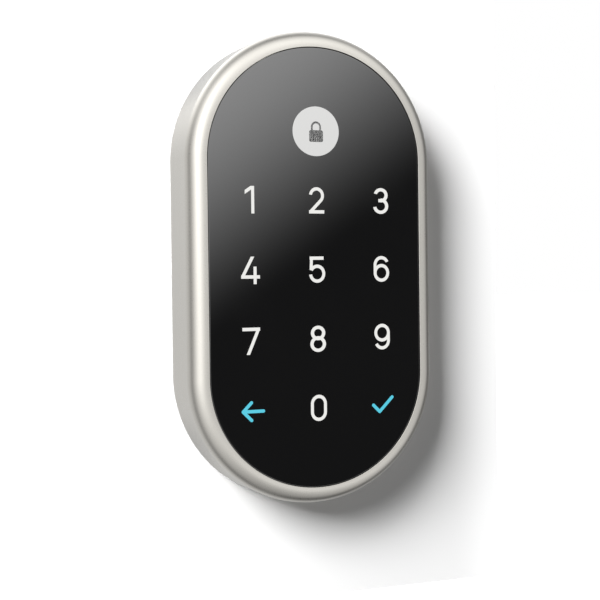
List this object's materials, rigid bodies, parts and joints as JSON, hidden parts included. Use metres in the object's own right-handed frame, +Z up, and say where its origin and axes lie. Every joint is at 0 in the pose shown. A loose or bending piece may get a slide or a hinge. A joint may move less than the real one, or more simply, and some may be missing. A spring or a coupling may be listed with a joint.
{
  "type": "keypad smart lock",
  "caption": "Keyless touchscreen deadbolt: pill-shaped metal outside unit with a black glass keypad, tubular latch, and a battery-powered inside unit with a thumbturn.",
  "frame": {"origin": "axis of the door's cross bore, at the door's outside face", "axes": "+Y into the door, from the outside face to the inside face; +X towards the door's edge, the way the bolt is thrown; +Z up"},
  "size_m": [0.0963, 0.111, 0.146],
  "materials": {
    "satin_nickel": "satin nickel plating on cast zinc, fine bead-blasted grain",
    "black_glass": "glossy black-backed cover glass",
    "badge": "flat light grey print",
    "adhesive": "black foam tape",
    "circuit_board": "green solder mask",
    "diffuser": "milky acrylic",
    "black_plastic": "fine matt",
    "white_plastic": "natural nylon",
    "contact_nickel": "bright nickel plate",
    "zinc_steel": "bright zinc plate",
    "hard_steel": "ground steel",
    "rubber_seal": "matt black rubber",
    "ring_plastic": "matt black nylon",
    "gear_nylon": "white acetal",
    "pinion_brass": "bright brass",
    "motor_can": "nickel-plated can",
    "inside_shell": "satin black, faint texture",
    "thumbturn_metal": "satin nickel plating",
    "cell_wrap": "printed film sleeve, plain bands",
    "cable_jacket": "black jacket"
  },
  "bodies": {
    "lock_body": {"exterior_housing": "satin_nickel", "cover_glass": "black_glass", "glass_adhesive": "adhesive", "badge_disc": "badge", "touch_sensor_board": "circuit_board", "light_guide": "diffuser", "key_leds": "diffuser", "exterior_board": "circuit_board", "exterior_chips": "black_plastic", "speaker": "black_plastic", "terminal_holder": "black_plastic", "power_terminals": "contact_nickel", "exterior_back_plate": "zinc_steel", "back_plate_screws": "zinc_steel", "weather_gasket": "rubber_seal", "locating_ring": "ring_plastic", "mounting_posts": "zinc_steel", "exterior_connector": "white_plastic", "latch_case": "zinc_steel", "latch_faceplate": "satin_nickel", "motor": "motor_can", "rear_gear_plate": "zinc_steel", "front_gear_plate": "zinc_steel", "gear_pins": "hard_steel", "gearbox_pillars": "hard_steel", "spindle_bush": "white_plastic", "interior_plate": "zinc_steel", "through_bolts": "zinc_steel", "interior_housing": "inside_shell", "housing_screws": "zinc_steel", "battery_tray": "black_plastic", "battery_cells": "cell_wrap", "battery_contacts": "contact_nickel", "interior_board": "circuit_board", "interior_connector": "white_plastic", "position_switch": "black_plastic", "data_cable": "cable_jacket"},
    "thumbturn": {"thumbturn": "thumbturn_metal", "spindle": "hard_steel", "tailpiece": "zinc_steel", "final_gear": "gear_nylon", "retaining_clip": "zinc_steel"},
    "latch_hub": {"latch_hub": "zinc_steel"},
    "deadbolt": {"deadbolt": "satin_nickel", "anti_saw_pin": "hard_steel", "bolt_tail": "zinc_steel", "tail_rivet": "zinc_steel"},
    "second_gear": {"second_gear": "gear_nylon"},
    "first_gear": {"first_gear": "gear_nylon"},
    "motor_rotor": {"motor_pinion": "pinion_brass", "motor_shaft": "hard_steel"},
    "battery_cover": {"battery_cover": "inside_shell"}
  },
  "joints": [
    {"name": "thumbturn_turn", "type": "hinge", "parent": "lock_body", "child": "thumbturn", "pos_m": [0, 0, 0], "axis": [0, 1, 0], "range_deg": [0, 90]},
    {"name": "hub_turn", "type": "hinge", "parent": "lock_body", "child": "latch_hub", "pos_m": [0, 0, 0], "axis": [0, 1, 0], "range_deg": [0, 90]},
    {"name": "bolt_throw", "type": "slide", "parent": "lock_body", "child": "deadbolt", "axis": [1, 0, 0], "range_m": [0, 0.0254]},
    {"name": "second_gear_turn", "type": "hinge", "parent": "lock_body", "child": "second_gear", "pos_m": [0.01955, 0, -0.00711], "axis": [0, 1, 0], "range_deg": [-300, 0]},
    {"name": "first_gear_turn", "type": "hinge", "parent": "lock_body", "child": "first_gear", "pos_m": [0.01705, 0, -0.0213], "axis": [0, 1, 0], "range_deg": [0, 900]},
    {"name": "motor_turn", "type": "hinge", "parent": "lock_body", "child": "motor_rotor", "pos_m": [0.00671, 0, -0.02312], "axis": [0, 1, 0], "range_deg": [-2880, 0]},
    {"name": "battery_cover_pull", "type": "slide", "parent": "lock_body", "child": "battery_cover", "axis": [0, 1, 0], "range_m": [0, 0.04]}
  ],
  "couplings": [
    {"joint": "hub_turn", "follows": "thumbturn_turn", "ratio": 1},
    {"joint": "bolt_throw", "follows": "thumbturn_turn", "m_per_rad": 0.01617},
    {"joint": "second_gear_turn", "follows": "thumbturn_turn", "ratio": -3.3333},
    {"joint": "first_gear_turn", "follows": "thumbturn_turn", "ratio": 10},
    {"joint": "motor_turn", "follows": "thumbturn_turn", "ratio": -32}
  ]
}
